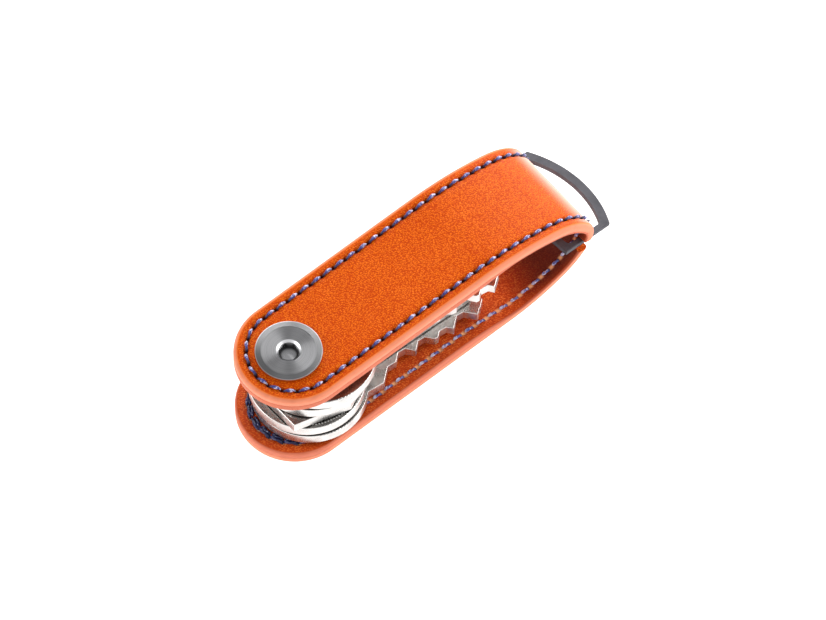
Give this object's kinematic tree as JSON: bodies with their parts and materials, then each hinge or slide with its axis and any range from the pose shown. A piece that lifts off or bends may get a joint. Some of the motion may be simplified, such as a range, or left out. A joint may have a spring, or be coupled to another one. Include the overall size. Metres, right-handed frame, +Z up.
{
  "type": "key organiser",
  "caption": "Pocket key organiser: a folded stitched leather strap with a D-ring, clamped by a screw post that flat keys swing out on.",
  "frame": {"origin": "centre of the lower face of the post's head, on the post's axis", "axes": "+X along the strap from the post to the fold, +Y across it, +Z up through the stack of keys"},
  "size_m": [0.073, 0.0216, 0.0225],
  "materials": {
    "grain_leather": "orange pebbled grain leather, semi-gloss",
    "lining_leather": "smooth lining leather, satin",
    "thread": "waxed navy blue sewing thread",
    "turned_steel": "lathe-turned stainless steel",
    "spring_steel": "spring steel",
    "ring_steel": "bead-blasted dark grey steel",
    "key_metal": "nickel-plated brass, worn bright",
    "nylon": "black nylon"
  },
  "bodies": {
    "strap": {"outer_leather": "grain_leather", "lining_leather": "lining_leather", "needle_thread": "thread", "bobbin_thread": "thread", "barrel_post": "turned_steel", "bottom_washer": "nylon", "disc_spring": "spring_steel", "key_spacer_1": "nylon", "key_spacer_2": "nylon", "key_spacer_3": "nylon", "key_spacer_4": "nylon", "key_spacer_5": "nylon", "top_washer": "nylon"},
    "key_1": {"key_1": "key_metal"},
    "key_2": {"key_2": "key_metal"},
    "key_3": {"key_3": "key_metal"},
    "key_4": {"key_4": "key_metal"},
    "key_5": {"key_5": "key_metal"},
    "ring": {"d_ring": "ring_steel"},
    "sleeve": {"screw_sleeve": "nylon"},
    "screw": {"clamp_screw": "turned_steel"}
  },
  "joints": [
    {"name": "key_1_swing", "type": "hinge", "parent": "strap", "child": "key_1", "pos_m": [0, 0, 0.011], "axis": [0, 0, 1], "continuous": true},
    {"name": "key_2_swing", "type": "hinge", "parent": "strap", "child": "key_2", "pos_m": [0, 0, 0.011], "axis": [0, 0, 1], "continuous": true},
    {"name": "key_3_swing", "type": "hinge", "parent": "strap", "child": "key_3", "pos_m": [0, 0, 0.011], "axis": [0, 0, 1], "continuous": true},
    {"name": "key_4_swing", "type": "hinge", "parent": "strap", "child": "key_4", "pos_m": [0, 0, 0.011], "axis": [0, 0, 1], "continuous": true},
    {"name": "key_5_swing", "type": "hinge", "parent": "strap", "child": "key_5", "pos_m": [0, 0, 0.011], "axis": [0, 0, 1], "continuous": true},
    {"name": "ring_swing", "type": "hinge", "parent": "strap", "child": "ring", "pos_m": [0.05175, 0.00018, 0.00931], "axis": [-0.0872, 0.9962, 0], "range_deg": [-3, 3]},
    {"name": "screw_lift", "type": "slide", "parent": "strap", "child": "sleeve", "axis": [0, 0, 1], "range_m": [0, 0.0028]},
    {"name": "screw_turn", "type": "hinge", "parent": "sleeve", "child": "screw", "pos_m": [0, 0, 0.021], "axis": [0, 0, 1], "range_deg": [0, 1441]}
  ],
  "couplings": [
    {"joint": "screw_turn", "follows": "screw_lift", "rad_per_m": 8976}
  ]
}
